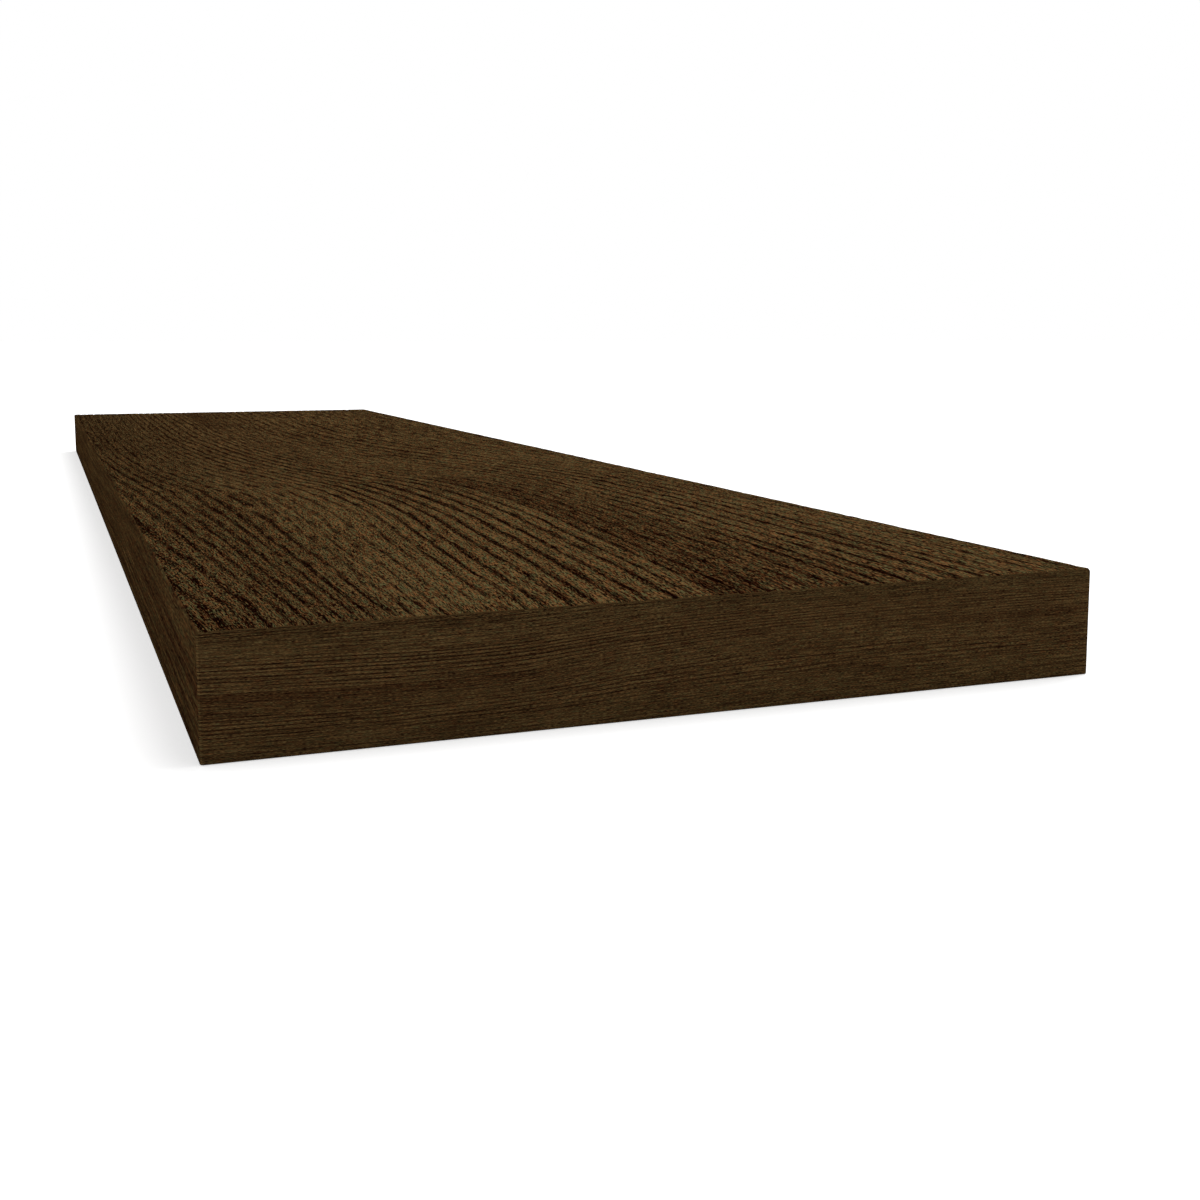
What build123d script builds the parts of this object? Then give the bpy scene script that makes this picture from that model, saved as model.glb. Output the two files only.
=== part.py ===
from build123d import *
import os

# Retrofit stair tread, one piece, lying as it does on the stair: top up, nosing towards -Y.
# It laps over an old tread: a thin board, a deep nosing along its front, and a return as
# deep as the nosing over the open end at +X. The plain end and the back edge are cut square.
# +X runs along the stair's width, +Y towards the riser behind, and +Z up.
# The origin is the middle of the tread's plan, level with the foot of the nosing.

# Driving dimensions, in millimetres
length = 1219.2           # 48 in, from the plain end to the face of the return
depth = 304.8             # 12 in, from the face of the nosing to the back edge
nosing_height = 38.1      # 1 1/2 in, the full height of the nosing and the return
nosing_width = 31.75      # 1 1/4 in, from the nosing's face to the rebate
return_width = 31.75      # 1 1/4 in, from the return's face to the rebate
board_thickness = 15.875  # 5/8 in, the board over the rebate, which lies on the old tread
arris_radius = 1.5        # top arrises of the nosing and the return
corner_radius = 1.0       # upright corner between the nosing and the return
foot_radius = 0.5         # lower arrises of the nosing and the return
root_radius = 1.5         # inside corners of the rebate
saw_chamfer = 0.5         # outline of the back edge and of the plain end

front = -depth / 2
back = depth / 2
plain_end = -length / 2
returned_end = length / 2
rebate_front = front + nosing_width
rebate_end = returned_end - return_width
rebate_height = nosing_height - board_thickness


def tread_section():
    """Section across the nosing: the thin board, with the deep nosing along its front."""
    outline = [
        (front, 0),
        (rebate_front, 0),
        (rebate_front, rebate_height),
        (back, rebate_height),
        (back, nosing_height),
        (front, nosing_height),
    ]
    return make_face(Plane.YZ * Polyline(*outline, close=True))


def return_section():
    """Section across the return, which is as deep as the nosing."""
    outline = [
        (rebate_end, 0),
        (returned_end, 0),
        (returned_end, nosing_height),
        (rebate_end, nosing_height),
    ]
    return make_face(Plane.XZ * Polyline(*outline, close=True))


def edge_at(shape, *place):
    """The edge whose middle lies nearest to a place."""
    return min(shape.edges(), key=lambda edge: (edge.center() - Vector(place)).length)


def outline_of(shape, place):
    """The edges round the flat face whose middle lies nearest to a place."""
    flats = shape.faces().filter_by(GeomType.PLANE)
    face = min(flats, key=lambda flat: (flat.center() - Vector(place)).length)
    return face.outer_wire().edges()


def stair_tread():
    """Board, nosing and return as one solid, with its corners and arrises."""
    tread = extrude(tread_section(), amount=length / 2, both=True)
    tread += extrude(return_section(), amount=depth / 2, both=True)

    roots = [
        edge_at(tread, (plain_end + rebate_end) / 2, rebate_front, rebate_height),
        edge_at(tread, rebate_end, (rebate_front + back) / 2, rebate_height),
        edge_at(tread, rebate_end, rebate_front, rebate_height / 2),
    ]
    tread = fillet(roots, root_radius)

    corner = edge_at(tread, returned_end, front, nosing_height / 2)
    tread = fillet(corner, corner_radius)
    top = tread.faces().sort_by(Axis.Z)[-1].outer_wire().edges()
    cut_ends = top.group_by(Axis.X)[0] + top.group_by(Axis.Y)[-1]
    tread = fillet([edge for edge in top if edge not in cut_ends], arris_radius)

    foot = tread.faces().sort_by(Axis.Z)[0].outer_wire().edges()
    cut_ends = foot.group_by(Axis.X)[0] + foot.group_by(Axis.Y)[-1]
    tread = fillet([edge for edge in foot if edge not in cut_ends], foot_radius)

    back_edge = outline_of(tread, (0, back, nosing_height - board_thickness / 2))
    tread = chamfer(back_edge, saw_chamfer)
    end = outline_of(tread, (plain_end, 0, nosing_height - board_thickness / 2))
    return chamfer(end, saw_chamfer)


os.makedirs("parts", exist_ok=True)
export_step(stair_tread(), "parts/stair_tread.step")
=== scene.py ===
import bmesh
import bpy
import math
from mathutils import Matrix, Vector


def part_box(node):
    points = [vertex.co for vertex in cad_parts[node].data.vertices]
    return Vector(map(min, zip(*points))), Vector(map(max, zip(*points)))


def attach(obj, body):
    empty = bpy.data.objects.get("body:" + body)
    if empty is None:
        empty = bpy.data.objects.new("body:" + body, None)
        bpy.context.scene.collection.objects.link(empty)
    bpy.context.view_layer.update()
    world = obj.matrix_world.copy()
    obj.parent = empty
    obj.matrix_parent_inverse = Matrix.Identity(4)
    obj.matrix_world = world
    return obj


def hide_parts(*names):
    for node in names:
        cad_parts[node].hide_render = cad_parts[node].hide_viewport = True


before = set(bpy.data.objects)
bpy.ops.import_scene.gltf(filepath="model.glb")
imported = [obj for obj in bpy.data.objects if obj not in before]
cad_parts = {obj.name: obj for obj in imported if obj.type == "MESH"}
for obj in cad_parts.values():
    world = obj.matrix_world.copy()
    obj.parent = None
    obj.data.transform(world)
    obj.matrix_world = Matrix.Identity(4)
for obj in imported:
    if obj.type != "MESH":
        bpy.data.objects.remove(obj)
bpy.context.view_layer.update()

# The tread is one piece of oak: a thin board that lies on the old step, a deep nosing along its
# front and a return as deep over its open end. It is planed to this section, and the rebate
# behind the nosing and the return takes the old step.

MM = 0.001
plain_end, front, floor_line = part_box("stair_tread")[0]
returned_end, back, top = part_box("stair_tread")[1]
NOSING_WIDTH = 31.75 * MM
RETURN_WIDTH = 31.75 * MM
BOARD_THICKNESS = 15.875 * MM
CLOSE = 0.01 * MM

rebate_front = front + NOSING_WIDTH
rebate_end = returned_end - RETURN_WIDTH
rebate_height = top - BOARD_THICKNESS


def cut_along(bm, faces, axis, places):
    """Cuts the faces across an axis at each of the places, which follow each other up that axis."""
    for place in places:
        edges = {edge for face in faces for edge in face.edges}
        verts = {vert for edge in edges for vert in edge.verts}
        facing = [i == axis for i in range(3)]
        through = [place * side for side in facing]
        cut = bmesh.ops.bisect_plane(
            bm, geom=[*verts, *edges, *faces], dist=CLOSE, plane_co=through, plane_no=facing
        )
        parts = [part for part in cut["geom"] if isinstance(part, bmesh.types.BMFace)]
        faces = [face for face in parts if face.calc_center_median()[axis] > place]


def planed_blank():
    """The board with its nosing and return drawn down from it, while its edges are still square."""
    bm = bmesh.new()
    middle = ((plain_end + returned_end) / 2, (front + back) / 2, (rebate_height + top) / 2)
    board = Matrix.Diagonal((returned_end - plain_end, back - front, BOARD_THICKNESS, 1))
    bmesh.ops.create_cube(bm, size=1, matrix=Matrix.Translation(middle) @ board)
    cut_along(bm, bm.faces[:], 0, [rebate_end])
    cut_along(bm, bm.faces[:], 1, [rebate_front])
    bm.normal_update()
    foot = []
    for face in bm.faces:
        centre = face.calc_center_median()
        if face.normal.z < -0.5 and (centre.y < rebate_front or centre.x > rebate_end):
            foot.append(face)
    drawn = bmesh.ops.extrude_face_region(bm, geom=foot)["geom"]
    bmesh.ops.delete(bm, geom=foot, context="FACES")
    lowered = [part for part in drawn if isinstance(part, bmesh.types.BMVert)]
    bmesh.ops.translate(bm, verts=lowered, vec=(0, 0, floor_line - rebate_height))
    bmesh.ops.dissolve_limit(bm, angle_limit=0.01, verts=bm.verts[:], edges=bm.edges[:])
    return bm


tread_form = planed_blank()

# Its arrises are rounded by a router bit: most along the top, less down the upright corner and
# least at the foot. The rebate's inside corners are left round by the cutter, and the sawn back
# edge and plain end only have their sharpness planed off.

TOP_ARRIS = 1.5 * MM
CORNER = 1.0 * MM
FOOT_ARRIS = 0.5 * MM
ROOT = 1.5 * MM
SAWN_ARRIS = 0.5 * MM


def lies_on(edge, x=None, y=None, z=None):
    """True for an edge whose two ends are at the given x, y or z."""
    planes = [(axis, place) for axis, place in enumerate((x, y, z)) if place is not None]
    return all(abs(vert.co[axis] - place) < CLOSE for vert in edge.verts for axis, place in planes)


def ease(bm, arrises, radius, segments):
    """Rounds arrises to a radius, or planes them flat with one segment."""
    bmesh.ops.bevel(
        bm, geom=arrises, offset=radius, segments=segments, affect="EDGES", profile=0.5, material=-1
    )


roots = (
    {"y": rebate_front, "z": rebate_height},
    {"x": rebate_end, "z": rebate_height},
    {"x": rebate_end, "y": rebate_front},
)
in_roots = [edge for edge in tread_form.edges if any(lies_on(edge, **root) for root in roots)]
ease(tread_form, in_roots, ROOT, 3)
upright = [edge for edge in tread_form.edges if lies_on(edge, x=returned_end, y=front)]
ease(tread_form, upright, CORNER, 4)
for level, radius in ((top, TOP_ARRIS), (floor_line, FOOT_ARRIS)):
    outline = [edge for edge in tread_form.edges if lies_on(edge, z=level)]
    eased = [edge for edge in outline if not lies_on(edge, x=plain_end) and not lies_on(edge, y=back)]
    ease(tread_form, eased, radius, 4)
sawn = [edge for edge in tread_form.edges if lies_on(edge, y=back) or lies_on(edge, x=plain_end)]
ease(tread_form, sawn, SAWN_ARRIS, 1)
tread_form.normal_update()

# The top is divided finely across its grain and more widely along it, since the grooves that are
# brushed into it run along the board. The nosing's face and the underside stay smooth, so they
# are divided only widely.

ALONG_STEP = 5.2 * MM
ACROSS_STEP = 0.9 * MM
SIDE_STEP = 4.0 * MM


def spaced(start, end, step):
    """Places between two ends, evenly spaced by about a step."""
    count = round((end - start) / step)
    return [start + (end - start) * i / count for i in range(1, count)]


def takes_brush(face):
    """True for the top, its arrises and the two end faces."""
    in_rebate_length = plain_end + ROOT < face.calc_center_median().x < rebate_end + ROOT
    return face.normal.z > 0.1 or abs(face.normal.x) > 0.9 and not in_rebate_length


cut_along(tread_form, tread_form.faces[:], 2, spaced(floor_line, top, SIDE_STEP))
tread_form.normal_update()
brushed = [face for face in tread_form.faces if takes_brush(face)]
cut_along(tread_form, brushed, 1, spaced(front, back, ACROSS_STEP))
cut_along(tread_form, tread_form.faces[:], 0, spaced(plain_end, returned_end, ALONG_STEP))

# Each face is worked in its own way: the top is brushed hard, the nosing and the returned end
# are sanded fine, and what lies on the old step is only planed. The upright corner between the
# nosing and the returned end is painted lighter, a painted highlight where light catches its
# rounding.

TOP_FINISH, NOSING_FINISH, END_FINISH, CORNER_HIGHLIGHT_FINISH, UNDERSIDE_FINISH = range(5)


def looks_into_rebate(face):
    """True for a face that looks into the rebate."""
    centre = face.calc_center_median()
    return face.normal.y > 0.1 and centre.y < 0 or face.normal.x < -0.1 and centre.x > 0


def finish_of(face):
    """The finish that a face of the tread has, by the way it looks."""
    if face.normal.z > 0.85:
        return TOP_FINISH
    below_board = face.calc_center_median().z < rebate_height
    if face.normal.z < -0.7 or below_board and looks_into_rebate(face):
        return UNDERSIDE_FINISH
    # The rounded upright corner gets the lighter finish, a painted highlight.
    if face.normal.x > 0.5 and face.normal.y < -0.5:
        return CORNER_HIGHLIGHT_FINISH
    return END_FINISH if abs(face.normal.x) > 0.7 else NOSING_FINISH


tread_form.normal_update()
for face in tread_form.faces:
    face.smooth = True
    face.material_index = finish_of(face)

# Each side of the tread has its own patch of the map that its finish is laid out on. A patch has
# the axes that run across and up it, and its lowest and highest corners on the map.

PATCHES = {
    "top": (0, 1, (0.005, 0.395), (0.995, 0.995)),
    "underside": (0, 1, (0.005, 0.262), (0.995, 0.388)),
    "front": (0, 2, (0.005, 0.16), (0.995, 0.255)),
    "returned end": (1, 2, (0.005, 0.058), (0.6, 0.153)),
    "plain end": (1, 2, (0.607, 0.058), (0.82, 0.153)),
    "return back": (1, 2, (0.827, 0.058), (0.995, 0.153)),
    "back": (0, 2, (0.005, 0.033), (0.995, 0.051)),
    "nosing back": (0, 2, (0.005, 0.006), (0.995, 0.026)),
}


def patch_of(face):
    """The patch of the map for a face, by the way it looks most and the side it is on."""
    looks = max(range(3), key=lambda axis: abs(face.normal[axis]))
    ahead = face.normal[looks] > 0
    centre = face.calc_center_median()
    if looks == 2:
        return "top" if ahead else "underside"
    if looks == 1:
        return ("nosing back" if centre.y < 0 else "back") if ahead else "front"
    return "returned end" if ahead else ("return back" if centre.x > 0 else "plain end")


tread_map = tread_form.loops.layers.uv.new("OFBake")
lowest = (plain_end, front, floor_line)
highest = (returned_end, back, top)
for face in tread_form.faces:
    across_axis, up_axis, start, end = PATCHES[patch_of(face)]
    for loop in face.loops:
        for side, axis in enumerate((across_axis, up_axis)):
            share = (loop.vert.co[axis] - lowest[axis]) / (highest[axis] - lowest[axis])
            loop[tread_map].uv[side] = start[side] + share * (end[side] - start[side])

tread_mesh = bpy.data.meshes.new("stair_tread_brushed")
tread_form.to_mesh(tread_mesh)
tread_form.free()
tread_mesh.set_sharp_from_angle(angle=math.radians(50))
tread = bpy.data.objects.new("stair_tread_brushed", tread_mesh)
bpy.context.collection.objects.link(tread)

# The figure of the oak. Its rings run along the board in bands of bold lines and plain wood,
# dip in the middle of the board and close up towards the nosing. One drawing serves both the
# brushed relief and the stain, so that the dark lines lie in the grooves.


class Reading:
    """A number read at each place on the wood. Sums of readings draw the nodes that work them out."""

    def __init__(self, tree, plug):
        self.tree = tree
        self.plug = plug

    def worked(self, operation, other=0.0):
        """What a sum makes of this reading and another."""
        node = self.tree.nodes.new("ShaderNodeMath")
        node.operation = operation
        join(self, node.inputs[0])
        join(other, node.inputs[1])
        return Reading(self.tree, node.outputs[0])

    def __add__(self, other):
        return self.worked("ADD", other)

    def __sub__(self, other):
        return self.worked("SUBTRACT", other)

    def __mul__(self, other):
        return self.worked("MULTIPLY", other)

    def __truediv__(self, other):
        return self.worked("DIVIDE", other)

    def fraction(self):
        """What is left over the last whole number."""
        return self.worked("FRACT")

    def between(self, start, end):
        """Goes smoothly from 0 to 1 as the reading passes from start to end."""
        node = self.tree.nodes.new("ShaderNodeMapRange")
        node.interpolation_type = "SMOOTHSTEP"
        join(self, node.inputs["Value"])
        node.inputs["From Min"].default_value = start
        node.inputs["From Max"].default_value = end
        return Reading(self.tree, node.outputs["Result"])

    def curve(self, *points):
        """The height, at this reading, of a smooth curve through points between 0 and 1."""
        node = self.tree.nodes.new("ShaderNodeFloatCurve")
        line = node.mapping.curves[0]
        line.points[0].location = points[0]
        line.points[1].location = points[-1]
        for point in points[1:-1]:
            line.points.new(*point)
        node.mapping.update()
        join(self, node.inputs["Value"])
        return Reading(self.tree, node.outputs["Value"])


def join(value, plug):
    """Leads a reading into a node's input, or sets the input to a number."""
    if isinstance(value, Reading):
        value.tree.links.new(value.plug, plug)
    else:
        plug.default_value = value


def uneven(along, across, seed, detail=2.0):
    """A random reading about 0, with a change about every whole number along and across."""
    place = along.tree.nodes.new("ShaderNodeCombineXYZ")
    join(along, place.inputs[0])
    join(across, place.inputs[1])
    place.inputs[2].default_value = seed
    noise = along.tree.nodes.new("ShaderNodeTexNoise")
    noise.inputs["Scale"].default_value = 1.0
    noise.inputs["Detail"].default_value = detail
    along.tree.links.new(place.outputs[0], noise.inputs["Vector"])
    return Reading(along.tree, noise.outputs[0]) - 0.5


FIGURE_LENGTH = 1219
FIGURE_DEPTH = 305
RING_SPACING = 8.2
DIP = 110
LEVEL_OF_DIP = 93.5


def oak_figure(along, across, fibre_width, bend):
    """Readings of the figure at a place in millimetres from the board's middle, where bend is how
    much of the rings' dip shows."""
    share_along = along / FIGURE_LENGTH + 0.5
    drift = share_along.curve(
        (0, 0.12), (0.15, 0.1), (0.3, 0.08), (0.4, 0.14), (0.5, 0.28), (0.575, 0.45), (0.64, 0.66),
        (0.74, 0.85), (0.87, 0.8), (1, 0.69),
    )
    reach = (across / FIGURE_DEPTH + 0.5).curve((0, 0.3), (0.3, 0.8), (0.5, 1), (0.8, 0.65), (1, 0.4))
    rise = along.between(250, 800) * across.between(-60, -150) * 50
    waver = uneven(along / 300, across / 70, 1.0) * 8 + uneven(along / 70, across / 22, 2.0) * 3.2
    rings = across - (drift * DIP - LEVEL_OF_DIP) * reach * bend - rise * bend + waver
    zone = rings / FIGURE_DEPTH + 0.5

    # the fibres, from single specks to long strands, which follow the rings
    down = along / fibre_width
    over = rings / fibre_width
    speck = uneven(down / 6.5, over, 3.0, 1.0)
    fibre = uneven(down / 18, over / 1.6, 4.0, 1.0)
    bundle = uneven(down / 49, over / 2.7, 5.0, 1.0)
    strand = uneven(down / 178, over / 5.5, 10.0, 1.0)

    # each year's growth, and the bands of the board in which its lines are bold
    crowded = uneven(rings / 26, rings / 90, 6.0) * 1.6
    phase = (rings / RING_SPACING + crowded + bundle * 0.3).fraction()
    growth = phase.curve((0, 0.75), (0.06, 1), (0.2, 0.85), (0.38, 0.2), (0.85, 0.05), (1, 0.75))
    boldness = zone.curve(
        (0, 1), (0.15, 1), (0.2, 0.6), (0.31, 0.6), (0.36, 1), (0.57, 1), (0.62, 0.55),
        (0.72, 0.55), (0.76, 0.95), (0.88, 0.95), (0.93, 0.55), (1, 0.5),
    )
    patchy = uneven(along / 120, rings / 12, 7.0) * 0.5 + 0.95

    # the wood by the nosing is nearer the heart, so its lines are more ragged and speckled
    heart = across.between(-60, -130)
    broken = uneven(down / 36, rings / 4, 12.0) * (across.between(-50, -120) * 1.6 + 2.4)
    ragged = (speck * 2.2 + fibre * 1.6 + bundle * 0.9) * (heart * 0.7 + 1.0)
    bold = boldness * patchy * (along.between(-450, 350) * 0.3 + 0.7) + broken

    # the dark mineral streak, and the softer shade beside it where the rings dip
    core = zone.curve((0, 0), (0.585, 0), (0.6, 1), (0.64, 0.8), (0.665, 0.15), (0.7, 0), (1, 0))
    dusk = zone.curve((0, 0), (0.63, 0), (0.67, 0.4), (0.73, 0.3), (0.78, 0), (1, 0))
    streak_strength = share_along.curve(
        (0, 0.7), (0.2, 0.5), (0.3, 0.1), (0.6, 0.15), (0.7, 0.5), (0.8, 0.85), (1, 1)
    )
    fine_hue = uneven(down / 16, over / 1.3, 8.0, 1.0) * 2
    return {
        "line": (growth * bold + ragged).between(0.44, 0.84),
        "streak": (core + dusk * bend) * streak_strength,
        "plain": boldness * -1 + 1,
        "heart": heart,
        "speck": speck,
        "fibre": fibre,
        "bundle": bundle,
        "strand": strand,
        "coarse": (bundle * 0.6 + strand * 0.5 - 0.1) * along.between(600, -400),
        "pore": (fibre + speck * 0.6).between(0.06, 0.14),
        "hue": fine_hue + uneven(down / 67, over / 3, 11.0, 1.0) * 0.5,
        "cloud": uneven(along / 160, across / 40, 9.0, 3.0),
    }


# The brushed relief: steel brushes wear the soft spring wood down between the hard ridges.
# The grooves run out over the arris at each end of the board.

FIBRE_WIDTH = 0.45
GROOVE_DEPTH = 0.36 * MM
PORE_DEPTH = 0.12 * MM
STRAND_DEPTH = 0.3 * MM


def brushed_relief():
    """Sinks the top's grooves and pores below its planed face."""
    tree = bpy.data.node_groups.new("brushed relief", "GeometryNodeTree")
    tree.interface.new_socket("Geometry", in_out="INPUT", socket_type="NodeSocketGeometry")
    tree.interface.new_socket("Geometry", in_out="OUTPUT", socket_type="NodeSocketGeometry")
    start = tree.nodes.new("NodeGroupInput")
    end = tree.nodes.new("NodeGroupOutput")
    place = tree.nodes.new("ShaderNodeSeparateXYZ")
    tree.links.new(tree.nodes.new("GeometryNodeInputPosition").outputs[0], place.inputs[0])
    facing = tree.nodes.new("ShaderNodeSeparateXYZ")
    tree.links.new(tree.nodes.new("GeometryNodeInputNormal").outputs["Normal"], facing.inputs[0])
    along, across = [Reading(tree, plug) / MM for plug in place.outputs[:2]]
    figure = oak_figure(along, across, FIBRE_WIDTH, 1.0)
    worn = figure["line"] * GROOVE_DEPTH + figure["pore"] * PORE_DEPTH
    worn = worn + (figure["strand"] * -1 + 0.4) * STRAND_DEPTH
    worn = worn * Reading(tree, facing.outputs[2]).between(0.3, 0.95)
    sink = tree.nodes.new("ShaderNodeCombineXYZ")
    join(worn.worked("MAXIMUM", 0.0) * -1, sink.inputs[2])
    moved = tree.nodes.new("GeometryNodeSetPosition")
    tree.links.new(start.outputs[0], moved.inputs["Geometry"])
    tree.links.new(sink.outputs[0], moved.inputs["Offset"])
    tree.links.new(moved.outputs[0], end.inputs[0])
    return tree


# The finish is a dark brown stain, which sinks into the open grain, under a matt lacquer.
# The colours are those of bare pores, stained wood and the ridges that the brush left light.


def linear(part):
    """The amount of light in a colour part that is given as it looks on a screen, from 0 to 255."""
    part = part / 255
    return part / 12.92 if part < 0.04 else ((part + 0.055) / 1.055) ** 2.4


def stain(red, green, blue):
    """A colour for a shader, given as it looks on a screen."""
    return (linear(red), linear(green), linear(blue), 1)


TONES = (
    (0.0, stain(16, 3, 1)),
    (0.15, stain(33, 17, 9)),
    (0.3, stain(47, 30, 18)),
    (0.5, stain(62, 45, 26)),
    (0.7, stain(77, 58, 34)),
    (1.0, stain(106, 86, 55)),
)
OLIVE_CAST = (0.74, 1.06, 1.05, 1)
RUSSET_CAST = (1.3, 0.93, 0.8, 1)


def stained_oak(
    name, axes, fibre_width, bend, base, contrast, warm, mottle, strand, streak, coarse, depth
):
    """Stained oak. Axes holds, for along and for across the figure, the tread's axis that it goes
    by, a scale and a shift in millimetres. Base is the wood's lightness and warm its redness, and
    contrast and mottle are how much these two vary. Strand, streak and coarse are how much of
    each shows, and depth is that of the finest grain."""
    material = bpy.data.materials.new(name)
    material.use_nodes = True
    tree = material.node_tree
    shader = tree.nodes["Principled BSDF"]
    coordinates = tree.nodes.new("ShaderNodeTexCoord")
    place = tree.nodes.new("ShaderNodeSeparateXYZ")
    tree.links.new(coordinates.outputs["Object"], place.inputs[0])
    along, across = [
        Reading(tree, place.outputs[axis]) / MM * scale + shift for axis, scale, shift in axes
    ]
    figure = oak_figure(along, across, fibre_width, bend)
    tone = figure["speck"] * 3.7 + figure["fibre"] * 2.1 + figure["bundle"] * 1.3
    tone = tone * (figure["heart"] * 0.4 + 1.0) + figure["strand"] * strand
    tone = tone + figure["coarse"] * coarse + figure["cloud"] * 0.35
    tone = tone - figure["line"] * 0.52 - figure["heart"] * 0.11 - figure["pore"] * 0.34
    tone = tone - figure["streak"] * (figure["strand"] * 1.0 + 0.27) * streak
    ramp = tree.nodes.new("ShaderNodeValToRGB")
    ramp.color_ramp.elements[0].position, ramp.color_ramp.elements[0].color = TONES[0]
    ramp.color_ramp.elements[1].position, ramp.color_ramp.elements[1].color = TONES[-1]
    for position, colour in TONES[1:-1]:
        ramp.color_ramp.elements.new(position).color = colour
    join(tone * contrast + base, ramp.inputs[0])
    cast = tree.nodes.new("ShaderNodeMix")
    cast.data_type = "RGBA"
    cast.inputs[6].default_value = OLIVE_CAST
    cast.inputs[7].default_value = RUSSET_CAST
    warmth = figure["hue"] * mottle + figure["streak"] * (streak * 0.14)
    warmth = warmth - figure["plain"] * 0.08 - figure["heart"] * 0.06
    join(warmth + warm, cast.inputs[0])
    tinted = tree.nodes.new("ShaderNodeMix")
    tinted.data_type = "RGBA"
    tinted.blend_type = "MULTIPLY"
    tinted.inputs[0].default_value = 1.0
    tree.links.new(ramp.outputs[0], tinted.inputs[6])
    tree.links.new(cast.outputs[2], tinted.inputs[7])
    tree.links.new(tinted.outputs[2], shader.inputs["Base Color"])
    join(figure["line"] * 0.12 + 0.78, shader.inputs["Roughness"])
    shader.inputs["Specular IOR Level"].default_value = 0.0
    bump = tree.nodes.new("ShaderNodeBump")
    bump.inputs["Distance"].default_value = depth
    join(figure["speck"] + figure["fibre"] - figure["line"] * 0.5, bump.inputs["Height"])
    tree.links.new(bump.outputs[0], shader.inputs["Normal"])
    return material


brushed_top = stained_oak(
    "brushed top",
    axes=((0, 1, 0), (1, 1, 0)),
    fibre_width=FIBRE_WIDTH,
    bend=1.0,
    base=0.67,
    contrast=1.2,
    warm=0.54,
    mottle=5.0,
    strand=0.3,
    streak=1.0,
    coarse=1.0,
    depth=0.3 * MM,
)
# The nosing's base is set darker than the top's, which is painted shade of an upright side.
shaded_sanded_nosing = stained_oak(
    "sanded nosing, painted shade",
    axes=((0, 2.0, -100), (2, 3.0, -40)),
    fibre_width=1.6,
    bend=0.15,
    base=0.55,
    contrast=0.43,
    warm=0.5,
    mottle=1.0,
    strand=1.6,
    streak=0.6,
    coarse=0.0,
    depth=0.05 * MM,
)
RETURN_GRAIN = {
    "axes": ((1, -4, 0), (2, -7.6, 168)),
    "fibre_width": 0.7,
    "bend": 0.6,
    "contrast": 0.8,
    "warm": 0.52,
    "mottle": 1.2,
    "strand": 0.8,
    "streak": 0.9,
    "coarse": 0.0,
    "depth": 0.05 * MM,
}
# The returned end's base is set darker than the top's, which is painted shade of an upright side.
shaded_sanded_end = stained_oak("sanded end, painted shade", base=0.62, **RETURN_GRAIN)
# The upright corner's lighter base is a painted highlight where light catches its rounding.
highlighted_corner = stained_oak("corner painted highlight", base=0.79, **RETURN_GRAIN)
planed_underside = stained_oak(
    "planed underside",
    axes=((0, 1, 300), (1, 1, 90)),
    fibre_width=0.7,
    bend=1.0,
    base=0.6,
    contrast=0.5,
    warm=0.52,
    mottle=1.5,
    strand=0.3,
    streak=0.6,
    coarse=0.0,
    depth=0.1 * MM,
)
for finish in (brushed_top, shaded_sanded_nosing, shaded_sanded_end, highlighted_corner, planed_underside):
    tread.data.materials.append(finish)

# The brushing is done with the finishes already on, and the worn mesh takes the place of the
# planed one.

brushing = tread.modifiers.new("brushed relief", "NODES")
brushing.node_group = brushed_relief()
worn_tread = tread.evaluated_get(bpy.context.evaluated_depsgraph_get())
brushed_mesh = bpy.data.meshes.new_from_object(worn_tread)
tread.modifiers.clear()
tread.data = brushed_mesh

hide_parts("stair_tread")
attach(tread, "root")

# The studio floor is a pale matt sheet just under the tread. It shines a little towards the
# camera, so that it looks white, and it can be seen through from below.

FLOOR_REACH = 30
FLOOR_GAP = 0.1 * MM
FLOOR_WHITE = (0.9, 0.9, 0.9, 1)
FLOOR_SHINE = 0.5

floor_mesh = bpy.data.meshes.new("studio_floor")
floor_form = bmesh.new()
bmesh.ops.create_grid(floor_form, x_segments=1, y_segments=1, size=FLOOR_REACH)
floor_form.to_mesh(floor_mesh)
floor_form.free()
floor = bpy.data.objects.new("studio_floor", floor_mesh)
floor.location.z = floor_line - FLOOR_GAP
bpy.context.collection.objects.link(floor)

floor_paint = bpy.data.materials.new("studio white")
floor_paint.use_nodes = True
paint_nodes = floor_paint.node_tree.nodes
paint_links = floor_paint.node_tree.links
white = paint_nodes["Principled BSDF"]
white.inputs["Base Color"].default_value = FLOOR_WHITE
white.inputs["Roughness"].default_value = 1.0
white.inputs["Specular IOR Level"].default_value = 0.0
white.inputs["Emission Color"].default_value = (1, 1, 1, 1)
floor_ray = paint_nodes.new("ShaderNodeLightPath")
shine = paint_nodes.new("ShaderNodeMath")
shine.operation = "MULTIPLY"
shine.inputs[1].default_value = FLOOR_SHINE
paint_links.new(floor_ray.outputs["Is Camera Ray"], shine.inputs[0])
paint_links.new(shine.outputs[0], white.inputs["Emission Strength"])
open_back = paint_nodes.new("ShaderNodeMixShader")
floor_side = paint_nodes.new("ShaderNodeNewGeometry")
clear = paint_nodes.new("ShaderNodeBsdfTransparent")
paint_links.new(floor_side.outputs["Backfacing"], open_back.inputs[0])
paint_links.new(white.outputs[0], open_back.inputs[1])
paint_links.new(clear.outputs[0], open_back.inputs[2])
paint_links.new(open_back.outputs[0], paint_nodes["Material Output"].inputs["Surface"])
floor_mesh.materials.append(floor_paint)

# The light is soft: an even white sky all round, dimmer on the wood than to the camera, and one
# wide lamp high behind the tread that rakes across its grain.

SKY_LIGHT = 0.55
SKY_WHITE = 1.0
LAMP_LIGHT = 1.7
LAMP_SPREAD = math.radians(50)
LAMP_BEAM = (0.7, -1.2, -2.0)

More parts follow.
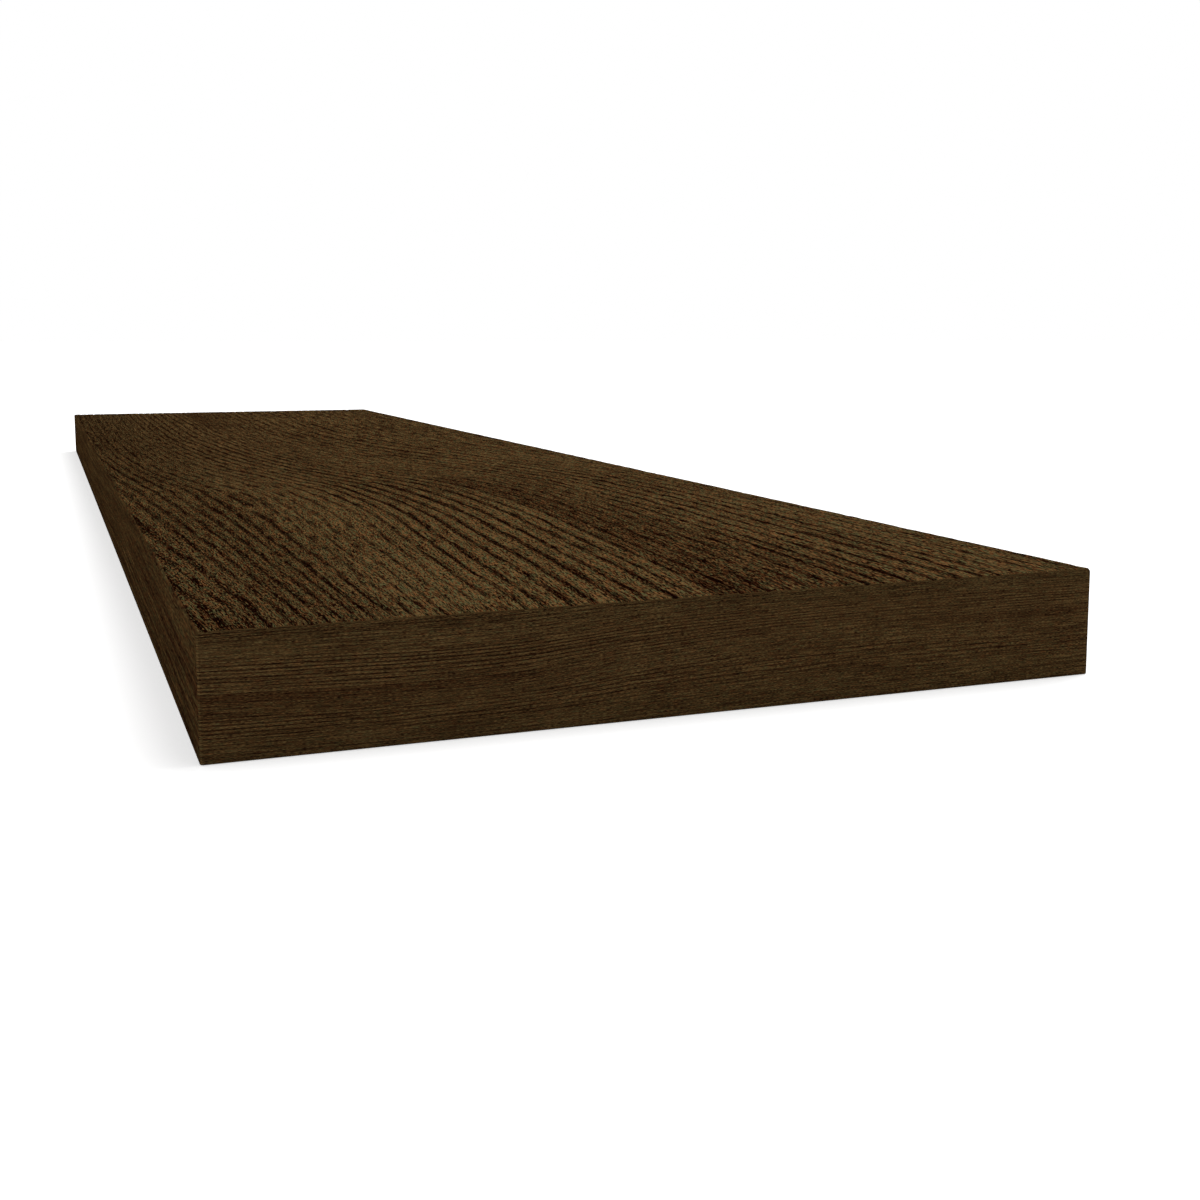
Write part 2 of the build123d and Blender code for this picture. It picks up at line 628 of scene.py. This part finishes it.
world = bpy.data.worlds.new("studio sky")
bpy.context.scene.world = world
world.use_nodes = True
sky_nodes = world.node_tree.nodes
sky_links = world.node_tree.links
backdrop = sky_nodes["Background"]
ray = sky_nodes.new("ShaderNodeLightPath")
seen_ray = sky_nodes.new("ShaderNodeMath")
seen_ray.operation = "MAXIMUM"
sky_links.new(ray.outputs["Is Camera Ray"], seen_ray.inputs[0])
sky_links.new(ray.outputs["Is Glossy Ray"], seen_ray.inputs[1])
backdrop.inputs["Color"].default_value = (1, 1, 1, 1)
strength = sky_nodes.new("ShaderNodeMapRange")
strength.inputs["To Min"].default_value = SKY_LIGHT
strength.inputs["To Max"].default_value = SKY_WHITE
sky_links.new(seen_ray.outputs[0], strength.inputs["Value"])
sky_links.new(strength.outputs[0], backdrop.inputs["Strength"])

lamp_data = bpy.data.lights.new("wide lamp", "SUN")
lamp_data.energy = LAMP_LIGHT
lamp_data.angle = LAMP_SPREAD
lamp = bpy.data.objects.new("wide lamp", lamp_data)
bpy.context.collection.objects.link(lamp)
lamp.rotation_euler = Vector(LAMP_BEAM).to_track_quat("-Z", "Y").to_euler()

# The camera stands low in front of the returned end and looks along the tread, so that the
# nosing, the returned end and the whole of the top show.

CAMERA_PLACE = (1.0212, -0.1908, 0.119)
AZIMUTH = math.radians(68.4)
DOWN = math.radians(7.15)
FOCAL_PIXELS = 1464
PICTURE_PIXELS = 1200
SIDE_SHIFT = -15
LEVEL_SHIFT = -80

camera_data = bpy.data.cameras.new("camera")
camera_data.sensor_width = 36
camera_data.lens = FOCAL_PIXELS / PICTURE_PIXELS * camera_data.sensor_width
camera_data.shift_x = SIDE_SHIFT / PICTURE_PIXELS
camera_data.shift_y = LEVEL_SHIFT / PICTURE_PIXELS
camera_data.clip_start = 0.01
camera = bpy.data.objects.new("camera", camera_data)
bpy.context.collection.objects.link(camera)
camera.location = CAMERA_PLACE
camera.rotation_euler = (math.pi / 2 - DOWN, 0, AZIMUTH)
bpy.context.scene.camera = camera
bpy.context.scene.view_settings.view_transform = "Standard"
